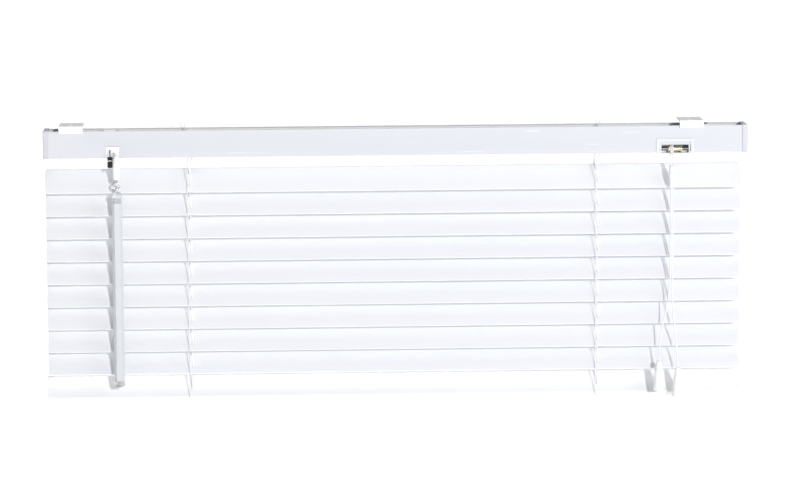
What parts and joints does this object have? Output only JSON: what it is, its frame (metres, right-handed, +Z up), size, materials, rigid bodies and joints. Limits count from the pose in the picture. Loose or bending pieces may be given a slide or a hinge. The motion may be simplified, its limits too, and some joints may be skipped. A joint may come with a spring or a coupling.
{
  "type": "venetian blinds",
  "caption": "Short-drop horizontal slatted window blind with a tilt wand, cord lock, ladders, lift cords and a bottom rail, hung from two ceiling clips.",
  "frame": {"origin": "middle of the four screw holes of the two brackets, on the ceiling plane", "axes": "+X along the head rail to the right, +Z up, -Y towards the room"},
  "size_m": [0.6185, 0.0399, 0.2476],
  "materials": {
    "rail_paint": "satin",
    "slat_paint": "satin",
    "bracket_paint": "gloss",
    "white_plastic": "gloss",
    "clear_plastic": "gloss",
    "black_plastic": "satin",
    "steel": "satin",
    "brass": "polished",
    "cord": "matte"
  },
  "bodies": {
    "head_rail": {"head_channel": "rail_paint", "end_cap_left": "white_plastic", "end_cap_right": "white_plastic", "cradle_left": "white_plastic", "cradle_right": "white_plastic", "tilter_housing": "white_plastic", "lock_housing": "white_plastic", "lock_axle": "steel", "bracket_left": "bracket_paint", "bracket_right": "bracket_paint", "bracket_rivets": "steel", "lift_cord_head": "cord", "wand_hook": "steel"},
    "tilt_shaft": {"tilt_rod": "steel", "drum_left": "white_plastic", "drum_right": "white_plastic", "rod_retainer": "steel", "worm_wheel": "white_plastic"},
    "worm": {"tilter_worm": "black_plastic"},
    "sleeve": {"wand_sleeve": "white_plastic", "wand_loop": "steel"},
    "wand": {"wand_connector": "clear_plastic", "wand_rod": "clear_plastic", "wand_tip": "clear_plastic"},
    "roller": {"lock_roller": "brass"},
    "pawl": {"lock_pawl": "steel"},
    "left_latch": {"latch_left": "steel"},
    "right_latch": {"latch_right": "steel"},
    "slat_1": {"slat_1": "slat_paint"},
    "carrier_2": {"lift_cord_2": "cord"},
    "slat_2": {"slat_2": "slat_paint"},
    "carrier_3": {"lift_cord_3": "cord"},
    "slat_3": {"slat_3": "slat_paint"},
    "carrier_4": {"lift_cord_4": "cord"},
    "slat_4": {"slat_4": "slat_paint"},
    "carrier_5": {"lift_cord_5": "cord"},
    "slat_5": {"slat_5": "slat_paint"},
    "carrier_6": {"lift_cord_6": "cord"},
    "slat_6": {"slat_6": "slat_paint"},
    "carrier_7": {"lift_cord_7": "cord"},
    "slat_7": {"slat_7": "slat_paint"},
    "carrier_8": {"lift_cord_8": "cord"},
    "slat_8": {"slat_8": "slat_paint"},
    "carrier_9": {"lift_cord_9": "cord"},
    "slat_9": {"slat_9": "slat_paint"},
    "bottom_carrier": {"lift_cord_10": "cord"},
    "bottom": {"bottom_rail": "rail_paint", "rail_cap_left": "white_plastic", "rail_cap_right": "white_plastic", "rail_plugs": "white_plastic"},
    "ladder_front": {"ladder_front": "cord"},
    "ladder_rear": {"ladder_rear": "cord"},
    "pull_cords": {"pull_cord_left": "cord", "pull_cord_right": "cord", "cord_stop": "white_plastic", "tassel_left": "white_plastic", "tassel_right": "white_plastic"}
  },
  "joints": [
    {"name": "tilt", "type": "hinge", "parent": "head_rail", "child": "tilt_shaft", "pos_m": [0, 0.0015, -0.016], "axis": [-1, 0, 0], "range_deg": [-24, 168]},
    {"name": "worm_turn", "type": "hinge", "parent": "head_rail", "child": "worm", "pos_m": [-0.238, -0.00629, -0.01236], "axis": [0, -0.4226, -0.9063], "range_deg": [-360, 2520]},
    {"name": "wand_turn", "type": "hinge", "parent": "head_rail", "child": "sleeve", "pos_m": [-0.2325, -0.0185, -0.046], "axis": [0, 0, -1], "range_deg": [-360, 2520]},
    {"name": "wand_swing", "type": "hinge", "parent": "sleeve", "child": "wand", "pos_m": [-0.2325, -0.0185, -0.055], "axis": [-1, 0, 0], "range_deg": [0, 45]},
    {"name": "lift", "type": "slide", "parent": "head_rail", "child": "bottom_carrier", "axis": [0, 0, 1], "range_m": [0, 0.14], "deforming": ["lift_cord_10", "ladder_front", "ladder_rear", "lift_cord_head"]},
    {"name": "slat_1_tilt", "type": "hinge", "parent": "head_rail", "child": "slat_1", "pos_m": [0, 0, -0.05], "axis": [-1, 0, 0], "range_deg": [-16.8, 117.6]},
    {"name": "lift_2", "type": "slide", "parent": "head_rail", "child": "carrier_2", "axis": [0, 0, 1], "range_m": [0, 0.0168], "deforming": ["lift_cord_2"]},
    {"name": "slat_2_tilt", "type": "hinge", "parent": "carrier_2", "child": "slat_2", "pos_m": [0, 0, -0.0702], "axis": [-1, 0, 0], "range_deg": [-16.8, 117.6]},
    {"name": "lift_3", "type": "slide", "parent": "head_rail", "child": "carrier_3", "axis": [0, 0, 1], "range_m": [0, 0.0336], "deforming": ["lift_cord_3"]},
    {"name": "slat_3_tilt", "type": "hinge", "parent": "carrier_3", "child": "slat_3", "pos_m": [0, 0, -0.0904], "axis": [-1, 0, 0], "range_deg": [-16.8, 117.6]},
    {"name": "lift_4", "type": "slide", "parent": "head_rail", "child": "carrier_4", "axis": [0, 0, 1], "range_m": [0, 0.0504], "deforming": ["lift_cord_4"]},
    {"name": "slat_4_tilt", "type": "hinge", "parent": "carrier_4", "child": "slat_4", "pos_m": [0, 0, -0.1106], "axis": [-1, 0, 0], "range_deg": [-16.8, 117.6]},
    {"name": "lift_5", "type": "slide", "parent": "head_rail", "child": "carrier_5", "axis": [0, 0, 1], "range_m": [0, 0.0672], "deforming": ["lift_cord_5"]},
    {"name": "slat_5_tilt", "type": "hinge", "parent": "carrier_5", "child": "slat_5", "pos_m": [0, 0, -0.1308], "axis": [-1, 0, 0], "range_deg": [-16.8, 117.6]},
    {"name": "lift_6", "type": "slide", "parent": "head_rail", "child": "carrier_6", "axis": [0, 0, 1], "range_m": [0, 0.084], "deforming": ["lift_cord_6"]},
    {"name": "slat_6_tilt", "type": "hinge", "parent": "carrier_6", "child": "slat_6", "pos_m": [0, 0, -0.151], "axis": [-1, 0, 0], "range_deg": [-16.8, 117.6]},
    {"name": "lift_7", "type": "slide", "parent": "head_rail", "child": "carrier_7", "axis": [0, 0, 1], "range_m": [0, 0.1008], "deforming": ["lift_cord_7"]},
    {"name": "slat_7_tilt", "type": "hinge", "parent": "carrier_7", "child": "slat_7", "pos_m": [0, 0, -0.1712], "axis": [-1, 0, 0], "range_deg": [-16.8, 117.6]},
    {"name": "lift_8", "type": "slide", "parent": "head_rail", "child": "carrier_8", "axis": [0, 0, 1], "range_m": [0, 0.1176], "deforming": ["lift_cord_8"]},
    {"name": "slat_8_tilt", "type": "hinge", "parent": "carrier_8", "child": "slat_8", "pos_m": [0, 0, -0.1914], "axis": [-1, 0, 0], "range_deg": [-16.8, 117.6]},
    {"name": "lift_9", "type": "slide", "parent": "head_rail", "child": "carrier_9", "axis": [0, 0, 1], "range_m": [0, 0.1344], "deforming": ["lift_cord_9"]},
    {"name": "slat_9_tilt", "type": "hinge", "parent": "carrier_9", "child": "slat_9", "pos_m": [0, 0, -0.2116], "axis": [-1, 0, 0], "range_deg": [-16.8, 117.6]},
    {"name": "bottom_tilt", "type": "hinge", "parent": "bottom_carrier", "child": "bottom", "pos_m": [0, 0, -0.2336], "axis": [-1, 0, 0], "range_deg": [-16.8, 117.6]},
    {"name": "ladder_front_swing", "type": "hinge", "parent": "slat_1", "child": "ladder_front", "pos_m": [0, -0.00837, -0.06072], "axis": [-1, 0, 0], "range_deg": [-117.6, 16.8], "deforming": ["ladder_front"]},
    {"name": "ladder_rear_swing", "type": "hinge", "parent": "slat_1", "child": "ladder_rear", "pos_m": [0, 0.00837, -0.03928], "axis": [-1, 0, 0], "range_deg": [-117.6, 16.8], "deforming": ["ladder_rear"]},
    {"name": "cords_out", "type": "slide", "parent": "head_rail", "child": "pull_cords", "axis": [0, 0, -1], "range_m": [0, 0.14], "deforming": ["pull_cord_left", "pull_cord_right"]},
    {"name": "roller_turn", "type": "hinge", "parent": "head_rail", "child": "roller", "pos_m": [0.2575, -0.0108, -0.0253], "axis": [1, 0, 0], "range_deg": [0, 3209]},
    {"name": "pawl_swing", "type": "hinge", "parent": "head_rail", "child": "pawl", "pos_m": [0.2575, -0.0033, -0.0184], "axis": [1, 0, 0], "range_deg": [0, 22]},
    {"name": "left_latch_swivel", "type": "hinge", "parent": "head_rail", "child": "left_latch", "pos_m": [-0.272, 0, -0.004], "axis": [0, 0, -1], "range_deg": [0, 90]},
    {"name": "right_latch_swivel", "type": "hinge", "parent": "head_rail", "child": "right_latch", "pos_m": [0.272, 0, -0.004], "axis": [0, 0, 1], "range_deg": [0, 90]}
  ],
  "couplings": [
    {"joint": "worm_turn", "follows": "tilt", "ratio": 15},
    {"joint": "wand_turn", "follows": "tilt", "ratio": 15},
    {"joint": "slat_1_tilt", "follows": "tilt", "ratio": 0.7},
    {"joint": "lift_2", "follows": "lift", "ratio": 0.12},
    {"joint": "slat_2_tilt", "follows": "tilt", "ratio": 0.7},
    {"joint": "lift_3", "follows": "lift", "ratio": 0.24},
    {"joint": "slat_3_tilt", "follows": "tilt", "ratio": 0.7},
    {"joint": "lift_4", "follows": "lift", "ratio": 0.36},
    {"joint": "slat_4_tilt", "follows": "tilt", "ratio": 0.7},
    {"joint": "lift_5", "follows": "lift", "ratio": 0.48},
    {"joint": "slat_5_tilt", "follows": "tilt", "ratio": 0.7},
    {"joint": "lift_6", "follows": "lift", "ratio": 0.6},
    {"joint": "slat_6_tilt", "follows": "tilt", "ratio": 0.7},
    {"joint": "lift_7", "follows": "lift", "ratio": 0.72},
    {"joint": "slat_7_tilt", "follows": "tilt", "ratio": 0.7},
    {"joint": "lift_8", "follows": "lift", "ratio": 0.84},
    {"joint": "slat_8_tilt", "follows": "tilt", "ratio": 0.7},
    {"joint": "lift_9", "follows": "lift", "ratio": 0.96},
    {"joint": "slat_9_tilt", "follows": "tilt", "ratio": 0.7},
    {"joint": "bottom_tilt", "follows": "tilt", "ratio": 0.7},
    {"joint": "ladder_front_swing", "follows": "tilt", "ratio": -0.7},
    {"joint": "ladder_rear_swing", "follows": "tilt", "ratio": -0.7},
    {"joint": "cords_out", "follows": "lift", "ratio": 1},
    {"joint": "roller_turn", "follows": "lift", "rad_per_m": 400}
  ]
}
